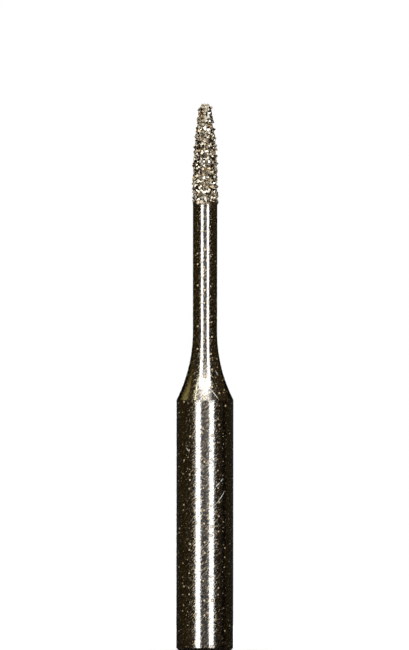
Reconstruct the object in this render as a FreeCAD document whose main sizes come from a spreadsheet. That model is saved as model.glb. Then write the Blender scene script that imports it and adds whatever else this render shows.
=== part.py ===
"""A friction-grip dental bur: a turned steel blank with a diamond-grit working end.

The blank is one turned piece: shank, concave flare, neck and the slimmer core of the head. A nickel bond is
plated over the core, and whole diamond crystals are seated in it, each in a pocket of its own shape. The bur
stands on the flat end of its shank, with its axis along Z and the origin at the middle of that flat. Lengths
are in millimetres.
"""

import FreeCAD, Part
import math
import os
import random
import re

import Sketcher
from FreeCAD import Rotation, Vector

# Driving dimensions, each under its alias in the spreadsheet
SIZES = {
    "shank_diameter": 1.6,
    "shank_length": 7.1,
    "end_chamfer": 0.15,
    "shoulder_edge_radius": 0.03,
    "flare_length": 1.92,
    "neck_diameter": 0.684,
    "neck_length": 3.6,
    "core_diameter": 0.474,
    "core_length": 2.69,
    "core_parallel_length": 0.7,
    "core_knee_diameter": 0.4,
    "core_knee_height": 1.53,
    "core_nose_radius": 0.074,
    "bond_thickness": 0.05,
    "bond_foot_height": 0.05,
    "bond_foot_margin": 0.005,
    "grain_largest": 0.125,
    "grain_smallest": 0.1,
    "grain_wall": 0.037,
    "grain_seat_clearance": 0.003,
}
SHEET = "Dimensions"
NECK_END = "shank_length + flare_length + neck_length"

# The grains are strewn by chance, from a seed, with this many throws for each grain that would fit side by side
GRAIN_SEED = 11
THROWS_PER_GRAIN = 10
# A crystal's corners lie at half its grain's size from its centre, or down to this share of that
LEAST_CORNER_SHARE = 0.8
BELT_CORNERS = (3, 4)

# How a sketch numbers the points of its elements, its origin and its vertical axis
START, END, CENTRE = 1, 2, 3
ORIGIN_POINT = (-1, 1)
VERTICAL_AXIS = -2


def make_sheet(doc):
    """The spreadsheet of driving dimensions."""
    sheet = doc.addObject("Spreadsheet::Sheet", SHEET)
    for row, (alias, value) in enumerate(SIZES.items(), start=1):
        sheet.set(f"A{row}", alias.replace("_", " "))
        sheet.set(f"B{row}", str(value))
        sheet.setAlias(f"B{row}", alias)
    doc.recompute()
    return sheet


def bind(feature, path, expression):
    """Bind a property or constraint to an expression over the sheet's aliases."""
    feature.setExpression(path, re.sub(r"[a-z]\w+", lambda word: f"{SHEET}.{word[0]}", expression))


def neck_end(sheet):
    """Height at which the neck ends and the head's core begins."""
    return sheet.shank_length + sheet.flare_length + sheet.neck_length


class HeadOutline:
    """Half the outline of the core, or of a layer over it: a straight side, two tapers and a round nose.

    Its points are vectors with the radius as x and the height as y.
    """

    def __init__(self, sheet, layer=0.0):
        self.base = neck_end(sheet)
        self.radius = sheet.core_diameter / 2 + layer
        self.tip = self.base + sheet.core_length + layer
        self.nose_radius = sheet.core_nose_radius + layer
        self.nose_centre = Vector(0, self.tip - self.nose_radius)
        self.side_top = Vector(self.radius, self.base + sheet.core_parallel_length)
        self.knee = Vector(sheet.core_knee_diameter / 2 + layer, self.base + sheet.core_knee_height)
        # The second taper runs from the knee and touches the nose, where the outward normal has this lean
        rise = self.nose_centre.y - self.knee.y
        to_centre = math.hypot(self.knee.x, rise)
        self.nose_lean = math.acos(self.nose_radius / to_centre) - math.atan2(rise, self.knee.x)
        self.touch = self.nose_point(self.nose_lean)

    def nose_point(self, lean):
        """The point of the nose where the outward normal has that lean, in radians."""
        return self.nose_centre + Vector(math.cos(lean), math.sin(lean)) * self.nose_radius

    def runs(self):
        """The straight stretches, from the neck up."""
        corners = (Vector(self.radius, self.base), self.side_top, self.knee, self.touch)
        return [(start, end - start) for start, end in zip(corners, corners[1:])]

    def length(self):
        """The outline's length from the neck to the tip."""
        straight = sum(run.Length for _, run in self.runs())
        return straight + self.nose_radius * (math.pi / 2 - self.nose_lean)

    def at(self, distance):
        """The point at a distance along the outline from the neck, and the lean of the normal there."""
        for start, run in self.runs():
            if distance < run.Length:
                return start + run * (distance / run.Length), math.atan2(-run.x, run.y)
            distance -= run.Length
        lean = self.nose_lean + distance / self.nose_radius
        return self.nose_point(lean), lean


def origin_plane(body, role):
    """One of a body's own origin planes."""
    return next(feature for feature in body.Origin.OriginFeatures if feature.Role == role)


def new_sketch(body, name):
    """A sketch on the body's XZ plane: its X is the radius and its Y the height."""
    sketch = body.newObject("Sketcher::SketchObject", name)
    sketch.AttachmentSupport = [(origin_plane(body, "XZ_Plane"), "")]
    sketch.MapMode = "FlatFace"
    return sketch


def line(sketch, start, end):
    """A straight element from one radius and height to another."""
    return sketch.addGeometry(Part.LineSegment(Vector(*start), Vector(*end)))


def arc(sketch, centre, radius, start_angle, end_angle):
    """An arc, anticlockwise from its start to its end, with its angles in radians."""
    circle = Part.Circle(Vector(*centre), Vector(0, 0, 1), radius)
    return sketch.addGeometry(Part.ArcOfCircle(circle, start_angle, end_angle))


def join(sketch, *points):
    """Two ends that meet."""
    sketch.addConstraint(Sketcher.Constraint("Coincident", *points))


def flow(sketch, *points):
    """Two ends that meet and run on smoothly."""
    sketch.addConstraint(Sketcher.Constraint("Tangent", *points))


def place(sketch, element, point, radius=None, height=None):
    """Bind a point's radius and height, each given as an expression."""
    for kind, expression in (("DistanceX", radius), ("DistanceY", height)):
        if expression is None:
            continue
        spot = sketch.getPoint(element, point)
        now = spot.x if kind == "DistanceX" else spot.y
        index = sketch.addConstraint(Sketcher.Constraint(kind, *ORIGIN_POINT, element, point, now))
        bind(sketch, f"Constraints[{index}]", expression)


def draw_head(sketch, outline, foot, layer=""):
    """Draw a head's outline from a foot height up to its tip, and return its side and its nose.

    layer is the end of each expression: what the layer over the core adds to a size.
    """
    side = line(sketch, (outline.radius, foot), outline.side_top)
    first_taper = line(sketch, outline.side_top, outline.knee)
    second_taper = line(sketch, outline.knee, outline.touch)
    nose = arc(sketch, outline.nose_centre, outline.nose_radius, outline.nose_lean, math.pi / 2)
    sketch.addConstraint(Sketcher.Constraint("Vertical", side))
    join(sketch, side, END, first_taper, START)
    join(sketch, first_taper, END, second_taper, START)
    flow(sketch, second_taper, END, nose, START)
    sketch.addConstraint(Sketcher.Constraint("PointOnObject", nose, CENTRE, VERTICAL_AXIS))
    sketch.addConstraint(Sketcher.Constraint("PointOnObject", nose, END, VERTICAL_AXIS))
    place(sketch, side, END, "core_diameter / 2" + layer, f"{NECK_END} + core_parallel_length")
    place(sketch, first_taper, END, "core_knee_diameter / 2" + layer, f"{NECK_END} + core_knee_height")
    place(sketch, nose, END, height=f"{NECK_END} + core_length" + layer)
    index = sketch.addConstraint(Sketcher.Constraint("Radius", nose, outline.nose_radius))
    bind(sketch, f"Constraints[{index}]", "core_nose_radius" + layer)
    return side, nose


def turn(body, sketch, name):
    """The solid turned from a sketch about the Z axis."""
    feature = body.newObject("PartDesign::Revolution", name)
    feature.Profile = sketch
    feature.ReferenceAxis = (sketch, ["V_Axis"])
    feature.Angle = 360.0
    sketch.Visibility = False
    return feature


def circle_edge(shape, radius, height):
    """The name of the round edge of that radius at that height."""
    for number, edge in enumerate(shape.Edges, start=1):
        if not isinstance(edge.Curve, Part.Circle):
            continue
        at_height = math.isclose(edge.Curve.Center.z, height, abs_tol=1e-6)
        if at_height and math.isclose(edge.Curve.Radius, radius, abs_tol=1e-6):
            return f"Edge{number}"
    raise ValueError(f"no round edge of radius {radius} at height {height}")


def make_blank(doc, sheet):
    """The turned steel blank, from the end of the shank to the nose of the head's core."""
    body = doc.addObject("PartDesign::Body", "steel_blank")
    sketch = new_sketch(body, "blank_profile")
    core = HeadOutline(sheet)
    shank = sheet.shank_diameter / 2
    neck = sheet.neck_diameter / 2
    shoulder = sheet.shank_length
    neck_start = shoulder + sheet.flare_length
    # The flare is an arc that runs on from the neck and meets the shank's corner
    widening = shank - neck
    flare_radius = (sheet.flare_length**2 + widening**2) / (2 * widening)
    flare_turn = math.asin(sheet.flare_length / flare_radius)

    end_face = line(sketch, (0, 0), (shank, 0))
    shank_side = line(sketch, (shank, 0), (shank, shoulder))
    flare_centre = (neck + flare_radius, neck_start)
    flare = arc(sketch, flare_centre, flare_radius, math.pi, math.pi + flare_turn)
    neck_side = line(sketch, (neck, neck_start), (neck, core.base))
    ledge = line(sketch, (neck, core.base), (core.radius, core.base))
    core_side, nose = draw_head(sketch, core, core.base)
    axis = line(sketch, (0, core.tip), (0, 0))

    join(sketch, end_face, START, *ORIGIN_POINT)
    join(sketch, end_face, END, shank_side, START)
    join(sketch, shank_side, END, flare, END)
    flow(sketch, neck_side, START, flare, START)
    join(sketch, neck_side, END, ledge, START)
    join(sketch, ledge, END, core_side, START)
    join(sketch, nose, END, axis, START)
    join(sketch, axis, END, *ORIGIN_POINT)
    for level in (end_face, ledge):
        sketch.addConstraint(Sketcher.Constraint("Horizontal", level))
    for upright in (shank_side, neck_side):
        sketch.addConstraint(Sketcher.Constraint("Vertical", upright))
    place(sketch, shank_side, END, "shank_diameter / 2", "shank_length")
    place(sketch, neck_side, START, "neck_diameter / 2", "shank_length + flare_length")
    place(sketch, neck_side, END, height=NECK_END)

    turned = turn(body, sketch, "turned_blank")
    doc.recompute()
    chamfer = body.newObject("PartDesign::Chamfer", "shank_end_chamfer")
    chamfer.Base = (turned, [circle_edge(turned.Shape, shank, 0)])
    bind(chamfer, "Size", "end_chamfer")
    doc.recompute()
    edge_round = body.newObject("PartDesign::Fillet", "shoulder_edge_round")
    edge_round.Base = (chamfer, [circle_edge(chamfer.Shape, shank, shoulder)])
    bind(edge_round, "Radius", "shoulder_edge_radius")
    doc.recompute()
    return body


def make_bond_shell(doc, sheet):
    """The nickel as plated, before it is pocketed: a thimble over the core, spread at its foot on the neck."""
    body = doc.addObject("PartDesign::Body", "bond_shell")
    sketch = new_sketch(body, "bond_profile")
    core = HeadOutline(sheet)
    outside = HeadOutline(sheet, sheet.bond_thickness)
    foot = sheet.neck_diameter / 2 - sheet.bond_foot_margin
    foot_top = core.base + sheet.bond_foot_height

    core_side, core_nose = draw_head(sketch, core, core.base)
    outer_side, outer_nose = draw_head(sketch, outside, foot_top, " + bond_thickness")
    underside = line(sketch, (core.radius, core.base), (foot, core.base))
    foot_side = line(sketch, (foot, core.base), (outside.radius, foot_top))
    axis = line(sketch, (0, core.tip), (0, outside.tip))

    join(sketch, core_side, START, underside, START)
    join(sketch, underside, END, foot_side, START)
    join(sketch, foot_side, END, outer_side, START)
    join(sketch, core_nose, END, axis, START)
    join(sketch, outer_nose, END, axis, END)
    sketch.addConstraint(Sketcher.Constraint("Horizontal", underside))
    place(sketch, underside, END, "neck_diameter / 2 - bond_foot_margin", NECK_END)
    place(sketch, foot_side, END, height=f"{NECK_END} + bond_foot_height")
    turn(body, sketch, "plated_layer")
    doc.recompute()
    return body


class Crystal:
    """An irregular double pyramid with a belt of three or four corners."""

    def __init__(self, centre, reach, chance):
        self.centre = centre
        turned = Rotation(*(chance.gauss(0, 1) for _ in range(4)))

        def corner(direction):
            return centre + turned.multVec(direction) * reach * chance.uniform(LEAST_CORNER_SHARE, 1)

        sides = chance.choice(BELT_CORNERS)
        angles = [2 * math.pi * side / sides for side in range(sides)]
        belt = [corner(Vector(math.cos(angle), math.sin(angle), 0)) for angle in angles]
        peaks = [corner(Vector(0, 0, 1)), corner(Vector(0, 0, -1))]
        self.corners = belt + peaks
        self.triangles = [(peak, belt[side - 1], belt[side]) for peak in peaks for side in range(sides)]

    def clears(self, other, wall):
        """Whether one of this crystal's faces has all of the other crystal beyond it, by more than the wall."""
        for a, b, c in self.triangles:
            normal = (b - a).cross(c - a).normalize()
            if normal.dot(a - self.centre) < 0:
                normal = -normal
            if all(normal.dot(corner - a) > wall for corner in other.corners):
                return True
        return False

    def solid(self):
        """The crystal's closed solid."""
        faces = [Part.Face(Part.makePolygon([a, b, c, a])) for a, b, c in self.triangles]
        solid = Part.makeSolid(Part.makeShell(faces))
        if solid.Volume < 0:
            solid.reverse()
        return solid


def strew_crystals(sheet):
    """Crystals strewn over the core, the largest first, each on its seat and clear of all the others."""
    chance = random.Random(GRAIN_SEED)
    outline = HeadOutline(sheet)
    lowest = outline.base + sheet.grain_seat_clearance
    length = outline.length()
    area = 2 * math.pi * outline.radius * length
    throws = round(THROWS_PER_GRAIN * area / sheet.grain_smallest**2)
    crystals = []
    for throw in range(throws):
        grain = sheet.grain_largest + (sheet.grain_smallest - sheet.grain_largest) * throw / throws
        reach = grain / 2
        lift = reach + sheet.grain_seat_clearance
        spot, lean = outline.at(chance.uniform(0, length))
        turned = Rotation(Vector(0, 0, 1), chance.uniform(0, 360))
        # A throw counts less often where the head is slimmer, so that the grains lie evenly
        if chance.uniform(0, outline.radius) > spot.x:
            continue
        centre = Vector(spot.x + lift * math.cos(lean), 0, spot.y + lift * math.sin(lean))
        if centre.z - reach < lowest:
            continue
        crystal = Crystal(turned.multVec(centre), reach, chance)
        span = reach + sheet.grain_largest / 2 + sheet.grain_wall
        near = [other for other in crystals if (other.centre - crystal.centre).Length < span]
        if all(crystal.clears(c, sheet.grain_wall) or c.clears(crystal, sheet.grain_wall) for c in near):
            crystals.append(crystal)
    return crystals


def add_solid(doc, name, shape):
    """A sub-part whose shape is set directly, with its Placement after it."""
    feature = doc.addObject("Part::Feature", name)
    feature.Shape = shape
    feature.Placement = FreeCAD.Placement()
    return feature


def make_head(doc, sheet, shell):
    """The diamond crystals, and the nickel bond with a pocket for each of them."""
    crystals = [crystal.solid() for crystal in strew_crystals(sheet)]
    bond = shell.Shape.cut(crystals)
    nickel_bond = add_solid(doc, "nickel_bond", bond.Solids[0] if len(bond.Solids) == 1 else bond)
    diamond_grit = add_solid(doc, "diamond_grit", Part.makeCompound(crystals))
    return nickel_bond, diamond_grit


def check(doc, subparts):
    """Stop if any object failed, or a sub-part has no valid shape."""
    failed = [thing.Name for thing in doc.Objects if {"Invalid", "Error"} & set(thing.State)]
    if failed:
        raise RuntimeError(f"failed objects: {failed}")
    for subpart in subparts:
        if subpart.Shape.isNull() or not subpart.Shape.isValid():
            raise RuntimeError(f"{subpart.Label} has no valid shape")


def main():
    """Build the bur, check it and write each sub-part."""
    doc = FreeCAD.newDocument("dental_bur")
    sheet = make_sheet(doc)
    blank = make_blank(doc, sheet)
    shell = make_bond_shell(doc, sheet)
    nickel_bond, diamond_grit = make_head(doc, sheet, shell)
    doc.recompute()

    subparts = (blank, nickel_bond, diamond_grit)
    check(doc, subparts)
    os.makedirs("parts", exist_ok=True)
    for subpart in subparts:
        subpart.Shape.exportStep(f"parts/{subpart.Label}.step")
        shape = subpart.Shape
        print(f"{subpart.Label}: {len(shape.Solids)} solids, {len(shape.Faces)} faces, {shape.Volume:.4f} mm3")


main()
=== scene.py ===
"""The looks of a friction-grip diamond bur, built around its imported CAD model.

The CAD model gives the form: a steel blank with its shank, flare and neck, the nickel bond on the core
of its head, and the diamond crystals in the bond. Here the blank and the bond are turned again with fine
meshes, each crystal has corners broken off and its edges dulled, and fine grains fill the gaps between
the crystals.
"""

import itertools
import math
import random

import bmesh
import bpy
import numpy as np
from mathutils import Euler, Matrix, Vector, noise
from mathutils.kdtree import KDTree


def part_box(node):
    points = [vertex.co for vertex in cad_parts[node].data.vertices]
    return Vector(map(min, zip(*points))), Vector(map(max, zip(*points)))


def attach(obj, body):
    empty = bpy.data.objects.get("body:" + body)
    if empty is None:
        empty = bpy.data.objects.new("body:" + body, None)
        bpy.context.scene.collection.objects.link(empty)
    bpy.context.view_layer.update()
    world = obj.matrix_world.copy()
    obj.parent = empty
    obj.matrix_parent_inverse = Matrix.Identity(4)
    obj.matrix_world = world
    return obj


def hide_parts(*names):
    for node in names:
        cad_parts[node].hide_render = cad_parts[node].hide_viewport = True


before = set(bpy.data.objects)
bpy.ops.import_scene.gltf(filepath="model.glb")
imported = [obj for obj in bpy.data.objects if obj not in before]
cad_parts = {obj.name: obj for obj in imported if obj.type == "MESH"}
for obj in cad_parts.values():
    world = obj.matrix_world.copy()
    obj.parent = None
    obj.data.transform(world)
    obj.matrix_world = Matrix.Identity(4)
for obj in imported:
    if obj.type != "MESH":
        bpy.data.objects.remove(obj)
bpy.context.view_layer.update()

# Units. Shapes are worked out in millimetres and written to meshes in metres.
MM = 0.001

# Sizes of the bur in millimetres. The ones that the frame holds are read from it.
_, blank_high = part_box("steel_blank")
bond_low, bond_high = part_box("nickel_bond")
_, grit_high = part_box("diamond_grit")
SHANK_RADIUS = blank_high.x / MM
NECK_END = bond_low.z / MM
BOND_TIP = bond_high.z / MM
CORE_TIP = blank_high.z / MM
GRIT_TIP = grit_high.z / MM
BOND_THICKNESS = BOND_TIP - CORE_TIP
SHANK_LENGTH = 7.1
END_CHAMFER = 0.15
EDGE_ROUND = 0.016
FLARE_LENGTH = 1.92
NECK_RADIUS = 0.342
CORE_RADIUS = 0.237
CORE_PARALLEL = 0.7
KNEE_RADIUS = 0.2
KNEE_HEIGHT = 1.53
NOSE_RADIUS = 0.074

# The bond's spread foot, as steps out from the neck's side and up from its end
BOND_FOOT = ((-0.002, -0.052), (0.003, -0.045), (0.001, -0.005), (-0.012, 0.015))

# Fineness of the turned meshes
BLANK_SEGMENTS = 192
BOND_SEGMENTS = 150
BOND_STEP = 0.012
FLARE_PARTS = 48
NOSE_PARTS = 12
SHOULDER_PARTS = 6
EDGE_PARTS = 4
SHARP_ANGLE = 40.0

# Crystals from the CAD model. A chip is cut at a share of the way from the crystal's middle to a corner.
# A corner is proud, or an upper one, where more than a share of that way goes outwards, or up.
SEED = 7
WELD_DISTANCE = 0.0002
CRYSTAL_GROWTH = (1.18, 1.18, 1.0)
CRYSTAL_EDGE = 0.002
CHIPS = (3, 5)
CHIP_DEPTH = (0.72, 0.93)
PROUD_CHIP = (0.86, 0.93)
CHIP_LEAN = 0.35
PROUD_SHARE = 0.5
UPPER_SHARE = 0.6

# Fine grains: for each size its reach, how many are thrown at the head, and the share of one that sinks
# in. The centre of the one on the tip is a share of its reach below the top of the grit.
FINE_SIZES = ((0.054, 1100, 0.16), (0.042, 1500, 0.24), (0.03, 1400, 0.30))
FINE_VARIATION = (0.85, 1.1)
FINE_FACES = 10
FINE_SHAKE = 0.45
FINE_DEPTH = (0.62, 0.95)
FINE_ROOM = 0.8
CRYSTAL_ROOM = 0.62
TIP_GRAIN = 0.05
TIP_GRAIN_DROP = 0.9

# Cutting solids: three planes cross where their normals' determinant is over the least crossing, and
# faces within an angle of each other are joined.
LEAST_CROSSING = 0.02
FLAT_ANGLE = 2.0

# Tones of the grit's faces, from 0 for dark to 1 for pale
CRYSTAL_TONES = (0.1, 0.7)
# Fine grains, in the gaps between crystals, are a little darker, as painted shade.
FINE_TONES = (0.05, 0.65)
FACE_TONES = (-0.2, 0.2)
# Faces high on a solid are paler and low ones darker, partly for worn plating and partly as painted
# shade. The head's tip is paler, as a painted highlight.
TOP_RISE = 0.24
TOP_TONE = 2.2
TIP_HIGHLIGHT_TONE = 1.2
TIP_REACH = 0.3

# Relief of the plating, by how many lumps there are in a millimetre and their height. The tops of its
# foot and of its frayed edge are heights from the neck's end.
NODULES = ((28, 0.007), (70, 0.003))
FOOT_FRAY = ((9, 0.05), (25, 0.02))
FOOT_TOP = 0.01
FRAY_TOP = -0.02
FOOT_SWELL = 0.4
CLIMB_START = 0.7
CLIMB_REACH = 0.03
CLIMB_HEIGHT = 0.012

# Long scratches. Each has two ends, as the turn round the axis from the front in degrees and the height.
SCRATCHES = (
    ((24.0, 4.19), (45.9, 4.58)),
    ((21.8, 4.66), (33.4, 4.81)),
    ((33.4, 4.81), (40.6, 4.92)),
    ((-40.9, 5.78), (-34.2, 5.65)),
    ((14.1, 7.42), (29.7, 7.11)),
    ((40.1, 7.90), (44.7, 7.78)),
    ((131.0, 3.1), (152.0, 3.5)),
    ((-118.0, 5.2), (-103.0, 4.8)),
    ((-150.0, 2.0), (-171.0, 2.4)),
)
# A scratch is painted pale, as its glint.
SCRATCH_WIDTH = 0.013
SCRATCH_SOFTNESS = 0.4
SCRATCH_TAPER = 3.0

# Grinding strokes: how many there are in a millimetre along and across them, and their turns in degrees
STROKE = (8.0, 31.0, 1.0)
STROKE_TURNS = (48.0, -44.0)

# Specks on the steel: how many cells for them a millimetre has, and the least and the most reach of one
SPECKS = ((4.6, -0.004, 0.032), (9.0, -0.005, 0.015))
SPECK_SOFTNESS = 0.005
# A speck's pale colour is dust and in part a painted glint. The dark ring round it is painted shade, and
# its reach is this many times the speck's.
SHADE_RING_REACH = 1.8
SHADE_RING_SOFTNESS = 0.006

# Noise in the materials, in lumps a millimetre, and their relief in millimetres
STEEL_GRAIN = 26.0
STEEL_CLOUDS = 1.3
STEEL_RELIEF = 0.0009
MARK_RELIEF = 0.003
NICKEL_GRAIN = 45.0
NICKEL_CLOUDS = 9.0
NICKEL_RELIEF = 0.002
DIAMOND_GRAIN = 60.0
DIAMOND_CLOUDS = 30.0
DIAMOND_RELIEF = 0.0012
CARD_CLOUDS = 0.8
FLOOR_CLOUDS = 0.5

# How strongly each change to a material shows
COOL_SHARE = 0.85
WARM_SHARE = 0.85
WORN_SHARE = 0.9
SHADE_RING_SHARE = 0.7
MARK_DULLNESS = 0.75

# Diamond's refractive index, and how strongly it mirrors, where 0.5 is as the index gives
DIAMOND_IOR = 2.4
DIAMOND_SPECULAR = 0.9

# Colours of the materials
STEEL_GREYS = ((0.48, 0.48, 0.47), (0.57, 0.57, 0.56))
COOL_STROKE = (0.20, 0.24, 0.32)
WARM_STROKE = (0.92, 0.68, 0.40)
STEEL_PIT = (0.09, 0.08, 0.07)
# Specks are pale as dust and in part as a painted glint, and they are ringed with painted shade.
DUST_AND_GLINT_COLOUR = (0.86, 0.67, 0.41)
SHADE_RING_COLOUR = (0.06, 0.05, 0.04)
# Scratches are painted pale, as their glint.
SCRATCH_GLINT_COLOUR = (0.93, 0.90, 0.84)
NICKEL_STAINS = ((0.07, 0.05, 0.028), (0.22, 0.17, 0.11))
NICKEL_GLINT = (0.42, 0.36, 0.27)
DARK_AND_BROWN = ((0.015, 0.009, 0.003), (0.20, 0.12, 0.04))
STRAW = (0.70, 0.51, 0.27)
PALE_STRAW = (0.96, 0.86, 0.69)
NICKEL_SMEAR = (0.92, 0.84, 0.70)

# Camera, in pixels, millimetres and degrees
PIXELS_PER_MM = 35.69
IMAGE_HEIGHT = 650
IMAGE_WIDTH = 409
GROUND_LINE = 653.2
AXIS_COLUMN = 205.0
CAMERA_ELEVATION = 1.1
CAMERA_ROLL = 0.06
CAMERA_DISTANCE = 300.0
CAMERA_CLIP = (1.0, 2000.0)

# World and floor. The lift is the floor's glow near the bur, where the shadow is, and further away.
WORLD_LEVEL = 0.1
FLOOR_RADIUS = 120.0
FLOOR_SIDES = 96
PAPER = ((0.84, 0.84, 0.84), (0.88, 0.88, 0.88))
PAPER_BOUNCE = (0.3, 0.3, 0.3)
SHADOW_REACH = (3.0, 16.0)
FLOOR_LIFT = (0.28, 0.9)

# Lamps and cards, in millimetres and degrees. A lamp of LAMP_WATTS a square metre has a radiance of 1.
LAMP_DISTANCE = 40.0
LAMP_WATTS = 4.0
LEFT_STRIPE = (-35.4, -18.6)
RIGHT_STRIPE = (19.4, 34.2)
MIDDLE = (-18.0, 17.5)
STRIP_HEIGHTS = (0.0, 42.0)
BEHIND_STRIPS = (42.0, 42.0)
WALL_HEIGHTS = (0.0, 190.0)
WALL_RADII = (30.0, 30.0)
LOW_RADII = (1.3, 6.0)
LOW_BACK_HEIGHTS = (0.0, 7.7)
LOW_BACK_RADII = (1.3, 5.3)
CARD_STEP = 4.0
CARD_SHADES = (0.85, 1.15)
HARD_EDGE = 0.001
COOL = (0.86, 0.93, 1.0)
WARM = (1.0, 0.985, 0.96)
PALE = (0.98, 0.97, 0.96)
FLOOR_BROWN = (0.22, 0.19, 0.14)
BACK_BLACK = (0.006, 0.005, 0.003)
BACK_GREY = (0.035, 0.033, 0.030)


def new_object(name, mesh, material):
    """Puts a mesh into the scene as a piece with one material."""
    mesh.materials.append(material)
    piece = bpy.data.objects.new(name, mesh)
    bpy.context.scene.collection.objects.link(piece)
    return piece


# Turned shapes

def between(a, b, step):
    """Points from a towards b, a among them and b not, at most a step apart."""
    parts = max(1, math.ceil(math.dist(a, b) / step))
    return [tuple(p + (q - p) * i / parts for p, q in zip(a, b)) for i in range(parts)]


def along(corners, step):
    """Points along a run of straight lines, both ends among them."""
    points = []
    for a, b in zip(corners, corners[1:]):
        points += between(a, b, step)
    return points + [corners[-1]]


def arc(centre, radius, start, end, parts):
    """Points on a circle in the half plane of radius and height, between two angles in radians."""
    turns = [start + (end - start) * i / parts for i in range(parts + 1)]
    return [(centre[0] + radius * math.cos(a), centre[1] + radius * math.sin(a)) for a in turns]


def head_outline(grown):
    """The head's side from foot to tip, as radius and height, grown outwards from the steel core."""
    foot = (CORE_RADIUS, NECK_END)
    belt = (CORE_RADIUS, NECK_END + CORE_PARALLEL)
    knee = (KNEE_RADIUS, NECK_END + KNEE_HEIGHT)
    nose = (0.0, CORE_TIP - NOSE_RADIUS)
    below = nose[1] - knee[1]
    lean = math.acos(NOSE_RADIUS / math.hypot(KNEE_RADIUS, below)) - math.atan2(below, KNEE_RADIUS)
    taper = math.atan2(belt[0] - knee[0], knee[1] - belt[1])
    side = [(foot[0] + grown, foot[1])]
    for corner, turn in ((belt, taper / 2), (knee, (taper + lean) / 2)):
        side.append((corner[0] + grown * math.cos(turn), corner[1] + grown * math.sin(turn)))
    cap = arc(nose, NOSE_RADIUS + grown, lean, math.pi / 2, NOSE_PARTS)
    return side + cap[:-1] + [(0.0, cap[-1][1])]


def flare_arc():
    """The flare, from the shank's edge up to the neck, which it meets without a corner."""
    drop = SHANK_RADIUS - NECK_RADIUS
    radius = (FLARE_LENGTH**2 + drop**2) / (2 * drop)
    centre = (NECK_RADIUS + radius, SHANK_LENGTH + FLARE_LENGTH)
    start = math.pi + math.asin(FLARE_LENGTH / radius)
    return arc(centre, radius, start, math.pi, FLARE_PARTS)


def softened(points, corner, radius, parts):
    """The same points with one corner replaced by a small curve, which starts and ends a radius away.

    A point on each side of the curve holds the long faces beside it flat.
    """
    before, at, after = (Vector(points[i]) for i in (corner - 1, corner, corner + 1))
    back = (before - at).normalized() * radius
    ahead = (after - at).normalized() * radius
    curve = [at + back * 2]
    for i in range(parts + 1):
        t = i / parts
        curve.append((at + back) * (1 - t) ** 2 + at * 2 * t * (1 - t) + (at + ahead) * t**2)
    curve.append(at + ahead * 2)
    return points[:corner] + [tuple(point) for point in curve] + points[corner + 1:]


def blank_profile():
    """The whole blank from the middle of its flat end to the tip of its core.

    Its corners are softened from the shoulder down, so that the ones below keep their numbers.
    """
    end = [(0.0, 0.0), (SHANK_RADIUS - END_CHAMFER, 0.0), (SHANK_RADIUS, END_CHAMFER)]
    points = end + flare_arc()
    for corner, parts in ((3, SHOULDER_PARTS), (2, EDGE_PARTS), (1, EDGE_PARTS)):
        points = softened(points, corner, EDGE_ROUND, parts)
    neck = [(NECK_RADIUS, NECK_END), (CORE_RADIUS, NECK_END)]
    return points + neck + head_outline(0.0)[1:]


def bond_profile():
    """The bond's outside, from its spread foot on the neck's end to its tip."""
    foot = [(NECK_RADIUS + out, NECK_END + up) for out, up in BOND_FOOT]
    side = head_outline(BOND_THICKNESS)
    side[0] = (side[0][0], NECK_END + BOND_THICKNESS)
    return along(foot + side, BOND_STEP)


def unrolled(turn, height):
    """The place of a point on the blank's side on its lathe's map, from its turn and its height."""
    run = 0.0
    profile = blank_profile()
    for a, b in zip(profile, profile[1:]):
        if a[1] < height <= b[1]:
            share = (height - a[1]) / (b[1] - a[1])
            radius = a[0] + (b[0] - a[0]) * share
            return Vector((math.radians(turn) * radius, run + share * math.dist(a, b)))
        run += math.dist(a, b)


def rings(profile, segments):
    """The verts of a profile that is turned about the Z axis, and the numbers of those on each ring."""
    turns = [math.tau * i / segments - math.pi for i in range(segments)]
    verts, numbers = [], []
    for radius, height in profile:
        if radius < 1e-6:
            numbers.append([len(verts)] * segments)
            verts.append((0.0, 0.0, height * MM))
            continue
        numbers.append(range(len(verts), len(verts) + segments))
        for turn in turns:
            verts.append((radius * math.sin(turn) * MM, -radius * math.cos(turn) * MM, height * MM))
    return verts, numbers


def lathe(name, profile, segments):
    """A closed surface turned about the Z axis, with a UV map in millimetres whose seam is behind."""
    verts, numbers = rings(profile, segments)
    lengths = [0.0]
    for a, b in zip(profile, profile[1:]):
        lengths.append(lengths[-1] + math.dist(a, b))
    faces, places = [], []
    for row in range(len(profile) - 1):
        for i in range(segments):
            corners = {}
            for ring, column in ((row, i), (row, i + 1), (row + 1, i + 1), (row + 1, i)):
                turn = math.tau * column / segments - math.pi
                vert = numbers[ring][column % segments]
                corners.setdefault(vert, (turn * profile[ring][0], lengths[ring]))
            faces.append(list(corners))
            places += corners.values()
    mesh = bpy.data.meshes.new(name)
    mesh.from_pydata(verts, [], faces)
    layer = mesh.uv_layers.new(name="surface_mm")
    layer.data.foreach_set("uv", [value for place in places for value in place])
    mesh.shade_smooth()
    mesh.set_sharp_from_angle(angle=math.radians(SHARP_ANGLE))
    return mesh


# Crystals

def linked_group(left):
    """Takes one vert and all that are linked to it out of a set, and gives them as a list."""
    start = min(left, key=lambda v: v.index)
    left.discard(start)
    group, waiting = [], [start]
    while waiting:
        vert = waiting.pop()
        group.append(vert)
        for link in vert.link_edges:
            other = link.other_vert(vert)
            if other in left:
                left.discard(other)
                waiting.append(other)
    return group


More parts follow.
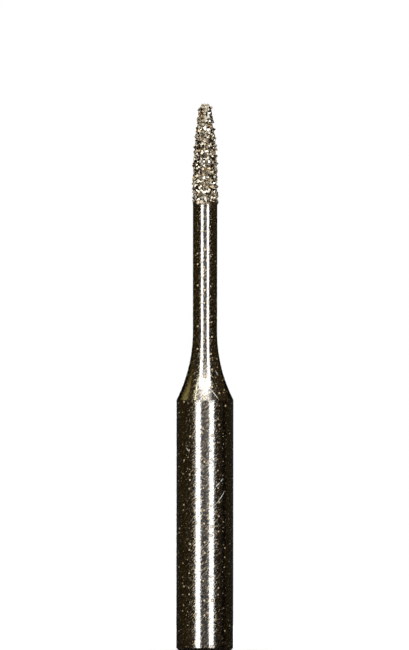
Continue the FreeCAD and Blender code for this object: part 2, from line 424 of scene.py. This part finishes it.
def cad_crystals():
    """The corners of each crystal that the CAD node holds, one array a crystal, in millimetres."""
    welded = bmesh.new()
    welded.from_mesh(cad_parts["diamond_grit"].data)
    bmesh.ops.remove_doubles(welded, verts=welded.verts, dist=WELD_DISTANCE * MM)
    left = set(welded.verts)
    crystals = []
    while left:
        crystals.append(np.array([v.co[:] for v in linked_group(left)]) / MM)
    welded.free()
    crystals.sort(key=lambda c: (round(c[:, 2].mean(), 5), round(c[:, 0].mean(), 5)))
    return crystals


def middle_and_reach(points):
    """The middle of some points, and how far the furthest of them is from it."""
    middle = points.mean(axis=0)
    return middle, float(np.linalg.norm(points - middle, axis=1).max())


def hull(points):
    """The convex hull of some points, as a bmesh with flat faces joined."""
    solid = bmesh.new()
    for point in points:
        solid.verts.new(point)
    result = bmesh.ops.convex_hull(solid, input=solid.verts)
    left_over = result["geom_interior"] + result["geom_unused"]
    spare = {part for part in left_over if isinstance(part, bmesh.types.BMVert)}
    bmesh.ops.delete(solid, geom=list(spare), context="VERTS")
    flat = math.radians(FLAT_ANGLE)
    bmesh.ops.dissolve_limit(solid, angle_limit=flat, verts=solid.verts, edges=solid.edges)
    return solid


def cut_rock(normals, depths):
    """The solid behind all of some planes, as a bmesh. A plane has a normal and its depth along that."""
    picks = np.array(list(itertools.combinations(range(len(normals)), 3)))
    sides, reach = normals[picks], depths[picks]
    crossed = np.abs(np.linalg.det(sides)) > LEAST_CROSSING
    corners = np.linalg.solve(sides[crossed], reach[crossed][:, :, None])[:, :, 0]
    inside = (corners @ normals.T <= depths + 1e-6).all(axis=1)
    corners = np.unique(np.round(corners[inside], 6), axis=0)
    return hull(corners)


def chipped(points, rng):
    """A CAD crystal with some of its corners broken off and its edges dulled, as a bmesh.

    The corners that stand out of the head go first, and they and the upper ones lose less.
    """
    middle = points.mean(axis=0)
    solid = hull((points - middle) * CRYSTAL_GROWTH)
    solid.normal_update()
    normals = [np.array(f.normal[:]) for f in solid.faces]
    depths = [float(np.dot(n, f.verts[0].co)) for n, f in zip(normals, solid.faces)]
    corners = [np.array(v.co[:]) for v in solid.verts]
    solid.free()
    outward = middle * (1, 1, 0)
    outward /= np.linalg.norm(outward)
    rng.shuffle(corners)
    corners.sort(key=lambda c: c @ outward < PROUD_SHARE * np.linalg.norm(c))
    for corner in corners[: rng.randint(*CHIPS)]:
        far = np.linalg.norm(corner)
        depth = rng.uniform(*CHIP_DEPTH)
        if corner @ outward > PROUD_SHARE * far or corner[2] > UPPER_SHARE * far:
            depth = rng.uniform(*PROUD_CHIP)
        lean = np.array([rng.uniform(-CHIP_LEAN, CHIP_LEAN) for _ in range(3)])
        normal = corner / far + lean
        normal /= np.linalg.norm(normal)
        normals.append(normal)
        depths.append(float(normal @ corner) * depth)
    solid = cut_rock(np.array(normals), np.array(depths))
    edges = list(solid.edges)
    bmesh.ops.bevel(
        solid, geom=edges, offset=CRYSTAL_EDGE, segments=1, affect="EDGES", clamp_overlap=True
    )
    bmesh.ops.translate(solid, vec=Vector(middle), verts=solid.verts)
    return solid


def spread_directions(count, rng):
    """Directions spread evenly over a ball and then shaken."""
    golden = math.pi * (3 - math.sqrt(5))
    directions = []
    for i in range(count):
        height = 1 - 2 * (i + 0.5) / count
        across = math.sqrt(1 - height**2)
        way = np.array([across * math.cos(golden * i), across * math.sin(golden * i), height])
        way += np.array([rng.uniform(-FINE_SHAKE, FINE_SHAKE) for _ in range(3)])
        directions.append(way / np.linalg.norm(way))
    return np.array(directions)


def random_turn(rng):
    """A random rotation as a 3 by 3 array."""
    numbers = np.array([[rng.gauss(0, 1) for _ in range(3)] for _ in range(3)])
    matrix, triangle = np.linalg.qr(numbers)
    return matrix * np.sign(np.diag(triangle))


def grain(centre, reach, rng):
    """A small crushed grain around a point, as a bmesh."""
    normals = spread_directions(FINE_FACES, rng) @ random_turn(rng).T
    depths = np.array([reach * rng.uniform(*FINE_DEPTH) for _ in normals])
    solid = cut_rock(normals, depths)
    bmesh.ops.translate(solid, vec=Vector(centre), verts=solid.verts)
    return solid


def outwards(place):
    """The direction straight out of the head at a place on it."""
    nose = Vector((0.0, 0.0, CORE_TIP - NOSE_RADIUS))
    away = Vector((place[0], place[1], 0.0))
    if place[2] > nose.z:
        away = Vector(place) - nose
    return away.normalized()


def join_solids(name, solids, tones, rng):
    """One mesh of many flat-faced solids, with a tone for each face.

    A solid has a random tone, paler near the head's tip as a painted highlight. Its faces vary round
    that, and are paler on its top, where the plating is worn off, and darker low down as painted shade.
    """
    whole = bmesh.new()
    layer = whole.faces.layers.float.new("tone")
    for solid in solids:
        middle = sum((v.co for v in solid.verts), Vector()) / len(solid.verts)
        # A solid is paler near the tip, as a painted highlight.
        near_tip = max(0.0, 1 - (BOND_TIP - middle.z) / TIP_REACH)
        own = rng.uniform(*tones) + TIP_HIGHLIGHT_TONE * near_tip
        reach = max((v.co - middle).length for v in solid.verts)
        out = outwards(middle)
        copies = {vert: whole.verts.new(vert.co * MM) for vert in solid.verts}
        for face in solid.faces:
            # Faces low on a solid are darker, partly for their nickel cover and partly as painted shade.
            rise = (face.calc_center_median() - middle).dot(out) / reach
            tone = own + (rise - TOP_RISE) * TOP_TONE + rng.uniform(*FACE_TONES)
            made = whole.faces.new([copies[v] for v in face.verts])
            made[layer] = min(1.0, max(0.0, tone))
        solid.free()
    mesh = bpy.data.meshes.new(name)
    whole.normal_update()
    whole.to_mesh(mesh)
    whole.free()
    return mesh


def point_on(side, length):
    """The radius, height and lean of the bond's side at a length along it from its foot."""
    for a, b in zip(side, side[1:]):
        run = math.dist(a, b)
        if length <= run:
            share = length / run
            lean = math.atan2(a[0] - b[0], b[1] - a[1])
            return a[0] + (b[0] - a[0]) * share, a[1] + (b[1] - a[1]) * share, lean
        length -= run
    return *side[-1], math.pi / 2


def fine_places(crystals, rng):
    """Centres and reaches of the fine grains, which fill the gaps between the crystals, largest first.

    One grain is always on the head's tip. Throws are spread evenly over the head's skin.
    """
    side = head_outline(BOND_THICKNESS)
    whole = sum(math.dist(a, b) for a, b in zip(side, side[1:]))
    centres = np.array([centre for centre, _ in crystals])
    rooms = np.array([reach for _, reach in crystals]) * CRYSTAL_ROOM
    made = [(np.array([0.0, 0.0, GRIT_TIP - TIP_GRAIN * TIP_GRAIN_DROP]), TIP_GRAIN)]
    for reach, throws, sunk in FINE_SIZES:
        for _ in range(throws):
            own = reach * rng.uniform(*FINE_VARIATION)
            radius, height, lean = point_on(side, whole * rng.random())
            turn = rng.uniform(-math.pi, math.pi)
            if rng.random() > radius / (CORE_RADIUS + BOND_THICKNESS):
                continue
            proud = own * (1 - 2 * sunk)
            out = radius + proud * math.cos(lean)
            up = height + proud * math.sin(lean)
            centre = np.array([out * math.sin(turn), -out * math.cos(turn), up])
            gaps = np.linalg.norm(centres - centre, axis=1) - rooms - own * FINE_ROOM
            if gaps.min() < 0 or up + own > GRIT_TIP:
                continue
            centres = np.vstack([centres, centre])
            rooms = np.append(rooms, own * FINE_ROOM)
            made.append((centre, own))
    return made


def lumps(place, layers):
    """Smooth random relief at a place, from layers that each have a fineness and a height."""
    return sum(noise.noise(place * fineness) * height for fineness, height in layers)


def plated(mesh, grains):
    """Makes the bond's skin nodular, raises it where it climbs up a grain, and frays its lower edge."""
    tree = KDTree(len(grains))
    for i, (centre, _) in enumerate(grains):
        tree.insert(Vector(centre), i)
    tree.balance()
    for vert in mesh.vertices:
        place = vert.co / MM
        _, index, far = tree.find(place)
        climb = max(0.0, 1 - max(0.0, far - grains[index][1] * CLIMB_START) / CLIMB_REACH)
        swell = FOOT_SWELL if place.z < NECK_END + FOOT_TOP else 1.0
        shift = outwards(place) * ((lumps(place, NODULES) + climb**2 * CLIMB_HEIGHT) * swell)
        if place.z < NECK_END + FRAY_TOP:
            shift.z += lumps(place, FOOT_FRAY)
        vert.co = (place + shift) * MM


# Materials

def new_material(name):
    """An empty node material and its tree."""
    material = bpy.data.materials.new(name)
    material.use_nodes = True
    material.node_tree.nodes.clear()
    return material, material.node_tree


def add(tree, kind, inputs=None, **settings):
    """Adds a node. An input takes a socket, which is linked to it, or a value."""
    made = tree.nodes.new("ShaderNode" + kind)
    for key, value in settings.items():
        setattr(made, key, value)
    for key, value in (inputs or {}).items():
        if isinstance(value, bpy.types.NodeSocket):
            tree.links.new(value, made.inputs[key])
        else:
            made.inputs[key].default_value = value
    return made


def place_mm(tree):
    """The place on the object in millimetres."""
    where = add(tree, "TexCoord").outputs["Object"]
    return add(tree, "VectorMath", {0: where, "Scale": 1 / MM}, operation="SCALE").outputs[0]


def mapped(tree, where, location=(0.0, 0.0, 0.0), turn=0.0, scale=(1.0, 1.0, 1.0)):
    """The place in the frame of something with its own location, turn about Z and size."""
    inputs = {"Vector": where, "Location": location, "Rotation": (0.0, 0.0, turn), "Scale": scale}
    return add(tree, "Mapping", inputs, vector_type="TEXTURE").outputs[0]


def mottle(tree, where, scale, detail=3.0, roughness=0.6):
    """Noise at a number of lumps a millimetre."""
    inputs = {"Vector": where, "Scale": scale, "Detail": detail, "Roughness": roughness}
    return add(tree, "TexNoise", inputs).outputs["Fac"]


def ramp(tree, value, low, high, to_low=0.0, to_high=1.0):
    """A value taken from one range to another and kept in it."""
    inputs = {"Value": value, "From Min": low, "From Max": high, "To Min": to_low, "To Max": to_high}
    return add(tree, "MapRange", inputs).outputs[0]


def combine(tree, operation, a, b):
    """Arithmetic on two values."""
    return add(tree, "Math", {0: a, 1: b}, operation=operation).outputs[0]


def tint(tree, share, a, b):
    """A colour between two others."""
    mix = add(tree, "Mix", data_type="RGBA")
    for socket, value in ((mix.inputs[0], share), (mix.inputs[6], a), (mix.inputs[7], b)):
        if isinstance(value, bpy.types.NodeSocket):
            tree.links.new(value, socket)
        elif socket.type == "RGBA":
            socket.default_value = (*value, 1.0)
        else:
            socket.default_value = value
    return mix.outputs[2]


def bumped(tree, height, depth, strength=1.0, under=None):
    """The normal of a surface with a relief of a depth in millimetres, over another relief if wanted."""
    inputs = {"Height": height, "Strength": strength, "Distance": depth * MM}
    if under:
        inputs["Normal"] = under
    return add(tree, "Bump", inputs).outputs[0]


def close(tree, shader):
    """Links a shader to the material's output."""
    tree.links.new(shader.outputs[0], add(tree, "OutputMaterial").inputs["Surface"])


def specks(tree, where, scale, least, most):
    """Round specks strewn over the surface, pale as dust and in part as a painted glint, and the dark
    ring of painted shade round each, as two masks.

    Their reach varies. A cell whose reach comes out below nothing has no speck.
    """
    inputs = {"Vector": where, "Scale": scale, "Randomness": 1.0}
    cells = add(tree, "TexVoronoi", inputs, voronoi_dimensions="2D").outputs
    share = add(tree, "SeparateColor", {0: cells["Color"]}).outputs[0]
    reach = combine(tree, "MULTIPLY", ramp(tree, share, 0.1, 1.0, least, most), scale)
    inner = ramp(tree, combine(tree, "SUBTRACT", reach, cells["Distance"]), 0.0, SPECK_SOFTNESS * scale)
    wide = combine(tree, "MULTIPLY", reach, SHADE_RING_REACH)
    outer = ramp(tree, combine(tree, "SUBTRACT", wide, cells["Distance"]), 0.0, SHADE_RING_SOFTNESS * scale)
    return inner, combine(tree, "SUBTRACT", outer, inner)


def scratched(tree, where):
    """The long scratches as one mask, each a thin tapered line between its ends on the blank's map."""
    whole = None
    for ends in SCRATCHES:
        start, stop = (unrolled(turn, height) for turn, height in ends)
        middle, line = (start + stop) / 2, stop - start
        size = (line.length / 2, SCRATCH_WIDTH, 1.0)
        local = mapped(tree, where, (*middle, 0.0), math.atan2(line.y, line.x), size)
        away = add(tree, "VectorMath", {0: local}, operation="ABSOLUTE").outputs[0]
        parts = add(tree, "SeparateXYZ", {0: away}).outputs
        taper = combine(tree, "SUBTRACT", 1.0, combine(tree, "POWER", parts[0], SCRATCH_TAPER))
        mark = ramp(tree, combine(tree, "SUBTRACT", taper, parts[1]), 0.0, SCRATCH_SOFTNESS)
        whole = mark if whole is None else combine(tree, "MAXIMUM", whole, mark)
    return whole


def strokes(tree, surface, turn):
    """Fine grinding strokes at a turn in degrees, as noise that is drawn out."""
    squeeze = tuple(1 / s for s in STROKE)
    return mottle(tree, mapped(tree, surface, turn=math.radians(turn), scale=squeeze), 1.0, detail=2.0)


def ground_metal(tree, surface, fine):
    """The ground steel's colour between its marks, and how worn it is, from its crossing strokes."""
    rising, falling = (strokes(tree, surface, turn) for turn in STROKE_TURNS)
    broad = mottle(tree, surface, STEEL_CLOUDS, detail=2.0)
    warm = ramp(tree, rising, 0.53, 0.61)
    cool = ramp(tree, falling, 0.51, 0.58)
    grainy = ramp(tree, fine, 0.54, 0.68, 0.0, 0.7)
    worn = combine(tree, "MAXIMUM", combine(tree, "MULTIPLY", warm, WARM_SHARE), grainy)
    metal = tint(tree, ramp(tree, broad, 0.35, 0.65), *STEEL_GREYS)
    metal = tint(tree, combine(tree, "MULTIPLY", cool, COOL_SHARE), metal, COOL_STROKE)
    metal = tint(tree, combine(tree, "MULTIPLY", worn, WORN_SHARE), metal, WARM_STROKE)
    metal = tint(tree, ramp(tree, fine, 0.46, 0.32, 0.0, 0.8), metal, STEEL_PIT)
    return metal, worn


def marked(tree, surface, metal):
    """The steel's colour with its specks, pale as dust and in part a painted glint, their rings of
    painted shade, and its scratches, painted pale as their glint, and a mask of specks and scratches.
    """
    (speck, ring), (dot, rim) = (specks(tree, surface, *size) for size in SPECKS)
    speck = combine(tree, "MAXIMUM", speck, dot)
    ring = combine(tree, "MAXIMUM", ring, rim)
    scratch = scratched(tree, surface)
    # The dark rings are painted shade, and the specks' pale colour is dust and in part a painted glint.
    colour = tint(tree, combine(tree, "MULTIPLY", ring, SHADE_RING_SHARE), metal, SHADE_RING_COLOUR)
    colour = tint(tree, speck, colour, DUST_AND_GLINT_COLOUR)
    # The scratches are painted pale, as their glint.
    colour = tint(tree, scratch, colour, SCRATCH_GLINT_COLOUR)
    return colour, combine(tree, "MAXIMUM", speck, scratch)


def steel_material():
    """Ground and polished stainless steel, with fine crossing strokes, specks that are dust and in part
    a painted glint, each ringed with painted shade, and scratches painted pale as their glint.
    """
    material, tree = new_material("ground_steel")
    surface = add(tree, "UVMap", uv_map="surface_mm").outputs[0]
    fine = mottle(tree, surface, STEEL_GRAIN, detail=2.0, roughness=0.55)
    metal, worn = ground_metal(tree, surface, fine)
    colour, mark = marked(tree, surface, metal)
    relief = bumped(tree, combine(tree, "MULTIPLY", fine, worn), STEEL_RELIEF)
    dull = combine(tree, "MULTIPLY", mark, MARK_DULLNESS)
    inputs = {
        "Base Color": colour,
        "Metallic": combine(tree, "SUBTRACT", 1.0, dull),
        "Roughness": ramp(tree, combine(tree, "MAXIMUM", worn, mark), 0.0, 1.0, 0.11, 0.32),
        "Normal": bumped(tree, mark, MARK_RELIEF, under=relief),
    }
    close(tree, add(tree, "BsdfPrincipled", inputs))
    return material


def nickel_material():
    """Matt nickel plating, grainy and a little stained."""
    material, tree = new_material("nickel_plating")
    where = place_mm(tree)
    grainy = mottle(tree, where, NICKEL_GRAIN, detail=4.0, roughness=0.7)
    stained = mottle(tree, where, NICKEL_CLOUDS, detail=2.0)
    colour = tint(tree, ramp(tree, stained, 0.35, 0.65), *NICKEL_STAINS)
    inputs = {
        "Base Color": tint(tree, ramp(tree, grainy, 0.5, 0.75), colour, NICKEL_GLINT),
        "Metallic": 1.0,
        "Roughness": ramp(tree, grainy, 0.3, 0.7, 0.28, 0.5),
        "Normal": bumped(tree, grainy, NICKEL_RELIEF, strength=0.6),
    }
    close(tree, add(tree, "BsdfPrincipled", inputs))
    return material


def diamond_material():
    """Crushed diamond: dark sides, still covered with nickel and darkened as painted shade, and bare
    straw to pale tops.

    Nickel is smeared over the tops here and there.
    """
    material, tree = new_material("crushed_diamond")
    where = place_mm(tree)
    tone = add(tree, "Attribute", attribute_name="tone").outputs["Fac"]
    cloud = mottle(tree, where, DIAMOND_CLOUDS)
    grainy = mottle(tree, where, DIAMOND_GRAIN, detail=2.0)
    # Dark low tones are nickel-covered sides and painted shade. Pale high tones are bare tops and, near
    # the tip, a painted highlight.
    body = tint(tree, ramp(tree, tone, 0.1, 0.3), *DARK_AND_BROWN)
    body = tint(tree, ramp(tree, tone, 0.25, 0.4), body, STRAW)
    body = tint(tree, ramp(tree, tone, 0.45, 0.65), body, PALE_STRAW)
    covered = ramp(tree, tone, 0.3, 0.7, 0.9, 0.15)
    smeared = ramp(tree, cloud, 0.55, 0.66, 0.0, 0.8)
    inputs = {
        "Base Color": tint(tree, ramp(tree, cloud, 0.58, 0.7, 0.0, 0.4), body, NICKEL_SMEAR),
        "Metallic": combine(tree, "MAXIMUM", covered, smeared),
        "Roughness": ramp(tree, cloud, 0.35, 0.65, 0.08, 0.24),
        "IOR": DIAMOND_IOR,
        "Specular IOR Level": DIAMOND_SPECULAR,
        "Normal": bumped(tree, grainy, DIAMOND_RELIEF, strength=0.5),
    }
    close(tree, add(tree, "BsdfPrincipled", inputs))
    return material


# Studio

def direction(azimuth):
    """The horizontal direction at an azimuth in degrees: 0 is towards the camera and 90 to its right."""
    turn = math.radians(azimuth)
    return Vector((math.sin(turn), -math.cos(turn), 0.0))


def strip_lamp(name, edges, heights, colour, radiance, mirrored=True):
    """An upright area lamp that faces the bur's axis, between two azimuths and two heights.

    One that isn't mirrored lights the bur, but doesn't show in its metal.
    """
    middle = direction((edges[0] + edges[1]) / 2)
    half_width = math.radians((edges[1] - edges[0]) / 2)
    light = bpy.data.lights.new(name, "AREA")
    light.shape = "RECTANGLE"
    light.size = 2 * LAMP_DISTANCE * math.tan(half_width) * MM
    light.size_y = (heights[1] - heights[0]) * MM
    light.color = colour
    light.energy = radiance * LAMP_WATTS * light.size * light.size_y
    lamp = bpy.data.objects.new(name, light)
    lift = Vector((0.0, 0.0, (heights[0] + heights[1]) / 2))
    lamp.location = (middle * LAMP_DISTANCE + lift) * MM
    lamp.rotation_euler = middle.to_track_quat("Z", "Y").to_euler()
    lamp.visible_camera = False
    lamp.visible_glossy = mirrored
    bpy.context.scene.collection.objects.link(lamp)


def crossing(azimuth, radius):
    """The azimuth where light that the shank mirrors towards another azimuth has come to a radius."""
    start = direction(azimuth / 2) * SHANK_RADIUS
    ahead = direction(azimuth)
    gained = start.dot(ahead)
    travelled = math.sqrt(gained**2 + radius**2 - SHANK_RADIUS**2) - gained
    met = start + ahead * travelled
    return math.degrees(math.atan2(met.x, -met.y))


def as_written(azimuth, _):
    """The same azimuth at any radius."""
    return azimuth


def card_mesh(name, edges, heights, radii, lean, seen):
    """A curved sheet between two azimuths, with a height and a radius for its foot and for its top.

    Its top is turned by a lean in degrees.
    """
    steps = max(2, round(abs(edges[1] - edges[0]) / CARD_STEP))
    verts = []
    for i in range(steps + 1):
        azimuth = edges[0] + (edges[1] - edges[0]) * i / steps
        for height, radius, shift in zip(heights, radii, (0.0, lean)):
            side = direction(seen(azimuth + shift, radius)) * radius
            verts.append((side + Vector((0.0, 0.0, height))) * MM)
    mesh = bpy.data.meshes.new(name)
    mesh.from_pydata(verts, [], [(2 * i, 2 * i + 1, 2 * i + 3, 2 * i + 2) for i in range(steps)])
    return mesh


def card_material(name, heights, colour, glow, fade):
    """Slightly uneven cloth that is lit or glows, and fades out over a length at its foot and top."""
    material, tree = new_material(name)
    shades = (tuple(part * shade for part in colour) for shade in CARD_SHADES)
    cloth = tint(tree, mottle(tree, place_mm(tree), CARD_CLOUDS), *shades)
    if glow:
        shader = add(tree, "Emission", {"Color": cloth, "Strength": glow})
    else:
        shader = add(tree, "BsdfDiffuse", {"Color": cloth})
    if max(fade) > 0:
        height = add(tree, "SeparateXYZ", {0: place_mm(tree)}).outputs[2]
        top = ramp(tree, height, heights[1], heights[1] - max(fade[1], HARD_EDGE))
        foot = ramp(tree, height, heights[0], heights[0] + max(fade[0], HARD_EDGE))
        solid = combine(tree, "MULTIPLY", top, foot)
        clear = add(tree, "BsdfTransparent")
        shader = add(tree, "MixShader", {0: solid, 1: clear.outputs[0], 2: shader.outputs[0]})
    close(tree, shader)
    return material


def card(name, edges, heights, radii, colour, glow=0.0, lean=0.0, fade=(0.0, 0.0), seen=crossing):
    """A curved card round the bur. It shows in the metal only, and neither shades nor lights anything.

    Its edges are the azimuths in which the shank shows them, or with as_written the ones where they are.
    """
    mesh = card_mesh(name, edges, heights, radii, lean, seen)
    piece = new_object(name, mesh, card_material(name, heights, colour, glow, fade))
    piece.visible_camera = False
    piece.visible_diffuse = False
    piece.visible_shadow = False
    piece.visible_transmission = False


def seen_directly(tree):
    """One for rays from the camera, off metal or through glass, and nought for the rest."""
    path = add(tree, "LightPath").outputs
    seen = combine(tree, "ADD", path["Is Camera Ray"], path["Is Glossy Ray"])
    seen = combine(tree, "ADD", seen, path["Is Transmission Ray"])
    return combine(tree, "MINIMUM", seen, 1.0)


def make_world():
    """A white surround, which lights the object at a lower level than it is seen."""
    world = bpy.data.worlds.new("studio")
    bpy.context.scene.world = world
    world.use_nodes = True
    tree = world.node_tree
    tree.nodes.clear()
    level = ramp(tree, seen_directly(tree), 0.0, 1.0, WORLD_LEVEL, 1.0)
    shade = add(tree, "Background", {"Color": (1.0, 1.0, 1.0, 1.0), "Strength": level})
    tree.links.new(shade.outputs[0], add(tree, "OutputWorld").inputs["Surface"])


def floor_material():
    """White paper, which bounces less light on the bur than it shows.

    It glows up to white where it is seen, but less near the bur, where it keeps the bur's shadow.
    """
    material, tree = new_material("pale_floor")
    seen = seen_directly(tree)
    where = place_mm(tree)
    paper = tint(tree, mottle(tree, where, FLOOR_CLOUDS, detail=4.0), *PAPER)
    diffuse = add(tree, "BsdfDiffuse", {"Color": tint(tree, seen, PAPER_BOUNCE, paper)})
    away = add(tree, "VectorMath", {0: where}, operation="LENGTH").outputs["Value"]
    lift = combine(tree, "MULTIPLY", seen, ramp(tree, away, *SHADOW_REACH, *FLOOR_LIFT))
    glow = add(tree, "Emission", {"Color": (1.0, 1.0, 1.0, 1.0), "Strength": lift})
    close(tree, add(tree, "AddShader", {0: diffuse.outputs[0], 1: glow.outputs[0]}))
    return material


def make_floor():
    """A plain pale floor under the bur."""
    mesh = bpy.data.meshes.new("floor")
    rim = [direction(360 * i / FLOOR_SIDES) * FLOOR_RADIUS * MM for i in range(FLOOR_SIDES)]
    mesh.from_pydata(rim, [], [range(FLOOR_SIDES)])
    floor = new_object("floor", mesh, floor_material())


def make_camera():
    """The photograph's view: square to the bur and a little above it."""
    data = bpy.data.cameras.new("camera")
    data.type = "ORTHO"
    data.ortho_scale = IMAGE_HEIGHT / PIXELS_PER_MM * MM
    data.clip_start, data.clip_end = (reach * MM for reach in CAMERA_CLIP)
    camera = bpy.data.objects.new("camera", data)
    lift = math.radians(CAMERA_ELEVATION)
    right = (IMAGE_WIDTH / 2 - AXIS_COLUMN) / PIXELS_PER_MM
    up = (GROUND_LINE - IMAGE_HEIGHT / 2) / PIXELS_PER_MM
    back = Vector((0.0, -math.cos(lift), math.sin(lift)))
    camera.location = (Vector((right, 0.0, up)) + back * CAMERA_DISTANCE) * MM
    upright = Euler((math.pi / 2 - lift, 0.0, 0.0)).to_matrix()
    leaning = Matrix.Rotation(math.radians(CAMERA_ROLL), 3, "Z")
    camera.rotation_euler = (upright @ leaning).to_euler()
    bpy.context.scene.collection.objects.link(camera)
    bpy.context.scene.camera = camera


def make_lamps():
    """Three strips, which the metal shows as stripes, and two wide soft lamps, which it doesn't show."""
    strip_lamp("strip_left", LEFT_STRIPE, STRIP_HEIGHTS, COOL, radiance=0.9)
    strip_lamp("strip_right", RIGHT_STRIPE, STRIP_HEIGHTS, COOL, radiance=0.9)
    strip_lamp("strip_back", (170.5, 189.5), STRIP_HEIGHTS, COOL, radiance=2.0)
    strip_lamp("front_fill", (-21.0, 19.0), (20.0, 60.0), WARM, radiance=5.4, mirrored=False)
    strip_lamp("back_fill", (160.0, 200.0), (10.0, 50.0), WARM, radiance=3.0, mirrored=False)


def front_cards():
    """What the metal mirrors in front: glows behind the strips, grey between them, and glows higher up.

    The flare and the grit show the higher ones. Low cards lean in under the rest to the bur's foot.
    """
    card("top_glow", (-22.0, 20.0), (26.0, 50.0), (33.0, 33.0), PALE, glow=3.4, fade=(6.0, 14.0))
    card("overhead_glow", (-44.0, 44.0), (62.0, 80.0), (36.0, 2.0), PALE, glow=6.0)
    card("top_wide_glow", (-42.0, 39.0), (34.0, 60.0), (34.0, 34.0), PALE, glow=0.6, fade=(6.0, 4.0))
    card("middle_card", MIDDLE, (0.0, 32.0), (31.0, 31.0), (0.31, 0.285, 0.27), fade=(0.0, 13.0))
    card("left_glow", LEFT_STRIPE, STRIP_HEIGHTS, BEHIND_STRIPS, COOL, glow=3.1)
    card("right_glow", RIGHT_STRIPE, STRIP_HEIGHTS, BEHIND_STRIPS, COOL, glow=3.1)
    card("middle_low_card", MIDDLE, (0.0, 6.0), (1.3, 4.4), (0.32, 0.305, 0.295))
    card("left_low_glow", LEFT_STRIPE, (0.0, 6.0), LOW_RADII, COOL, glow=3.8)
    card("right_low_glow", RIGHT_STRIPE, (0.0, 6.0), LOW_RADII, COOL, glow=3.8)


def left_cards():
    """What the metal mirrors on the left: dark browns, with olive and a thin strip for the flare."""
    card("left_card", (-130.0, -39.0), WALL_HEIGHTS, WALL_RADII, (0.054, 0.037, 0.012))
    card("left_low_card", (-124.0, -39.0), (0.0, 9.0), LOW_RADII, (0.050, 0.034, 0.011))
    card("left_floor_card", (-180.0, -39.0), (0.3, 0.3), (6.0, 30.0), FLOOR_BROWN)
    card("left_back_card", (-170.0, -130.0), WALL_HEIGHTS, WALL_RADII, BACK_BLACK)
    card("left_back_low_card", (-170.0, -124.0), LOW_BACK_HEIGHTS, LOW_BACK_RADII, BACK_GREY)
    olive, straw = (0.52, 0.44, 0.15), (1.0, 0.98, 0.76)
    card("olive_card", (-128.0, -92.0), (18.2, 60.0), (29.0, 29.0), olive, fade=(6.0, 0.0))
    card("thin_strip", (-49.5, -45.5), (26.4, 60.0), (29.0, 29.0), straw, glow=5.0, lean=-14.0)


def right_cards():
    """What the metal mirrors on the right: dark browns, and a darker one low down."""
    card("right_card", (37.0, 130.0), WALL_HEIGHTS, WALL_RADII, (0.048, 0.033, 0.012))
    card("right_low_card", (37.0, 72.0), (0.0, 9.0), LOW_RADII, (0.038, 0.026, 0.010))
    card("right_dark_low_card", (72.0, 94.0), (0.0, 9.0), LOW_RADII, (0.010, 0.007, 0.003))
    card("right_brown_low_card", (94.0, 122.0), (0.0, 9.0), LOW_RADII, (0.040, 0.029, 0.009))
    card("right_floor_card", (37.0, 180.0), (0.3, 0.3), (6.0, 30.0), FLOOR_BROWN)
    card("right_back_card", (130.0, 170.0), WALL_HEIGHTS, WALL_RADII, BACK_BLACK)
    card("right_back_low_card", (122.0, 170.0), LOW_BACK_HEIGHTS, LOW_BACK_RADII, BACK_GREY)


def back_cards():
    """What the metal mirrors behind the bur, and round its foot a dark ring on the floor, a painted
    shadow.
    """
    card("back_low_glow", (170.0, 190.0), LOW_BACK_HEIGHTS, LOW_BACK_RADII, COOL, glow=0.3)
    card("back_floor_card", (110.0, 250.0), (0.25, 0.25), (0.85, 30.0), FLOOR_BROWN, seen=as_written)
    # A dark ring on the floor round the foot, a painted shadow for the chamfer to mirror.
    foot_shadow_grey = (0.02, 0.018, 0.016)
    card("foot_shadow_card", (-180.0, 180.0), (0.002, 0.004), (0.5, 1.4), foot_shadow_grey, seen=as_written)


def finish_piece(piece, slot, *nodes):
    """Fixes a piece to the bur's one body, and hides the CAD nodes that it stands for. The slot, what it
    is made of, is not used.
    """
    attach(piece, "root")
    if nodes:
        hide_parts(*nodes)


# Making

rng = random.Random(SEED)
bpy.context.scene.view_settings.view_transform = "Standard"
make_camera()
make_world()
make_floor()
make_lamps()
front_cards()
left_cards()
right_cards()
back_cards()

crystals = cad_crystals()
crystal_places = [middle_and_reach(points) for points in crystals]
grain_places = fine_places(crystal_places, rng)
diamond = diamond_material()

blank = lathe("ground_blank", blank_profile(), BLANK_SEGMENTS)
finish_piece(new_object("ground_blank", blank, steel_material()), "steel", "steel_blank")

skin = lathe("nickel_skin", bond_profile(), BOND_SEGMENTS)
plated(skin, crystal_places + grain_places)
finish_piece(new_object("nickel_skin", skin, nickel_material()), "nickel", "nickel_bond")

large = join_solids("diamond_crystals", [chipped(c, rng) for c in crystals], CRYSTAL_TONES, rng)
finish_piece(new_object("diamond_crystals", large, diamond), "diamond", "diamond_grit")

small = join_solids("diamond_fines", [grain(c, r, rng) for c, r in grain_places], FINE_TONES, rng)
finish_piece(new_object("diamond_fines", small, diamond), "diamond")
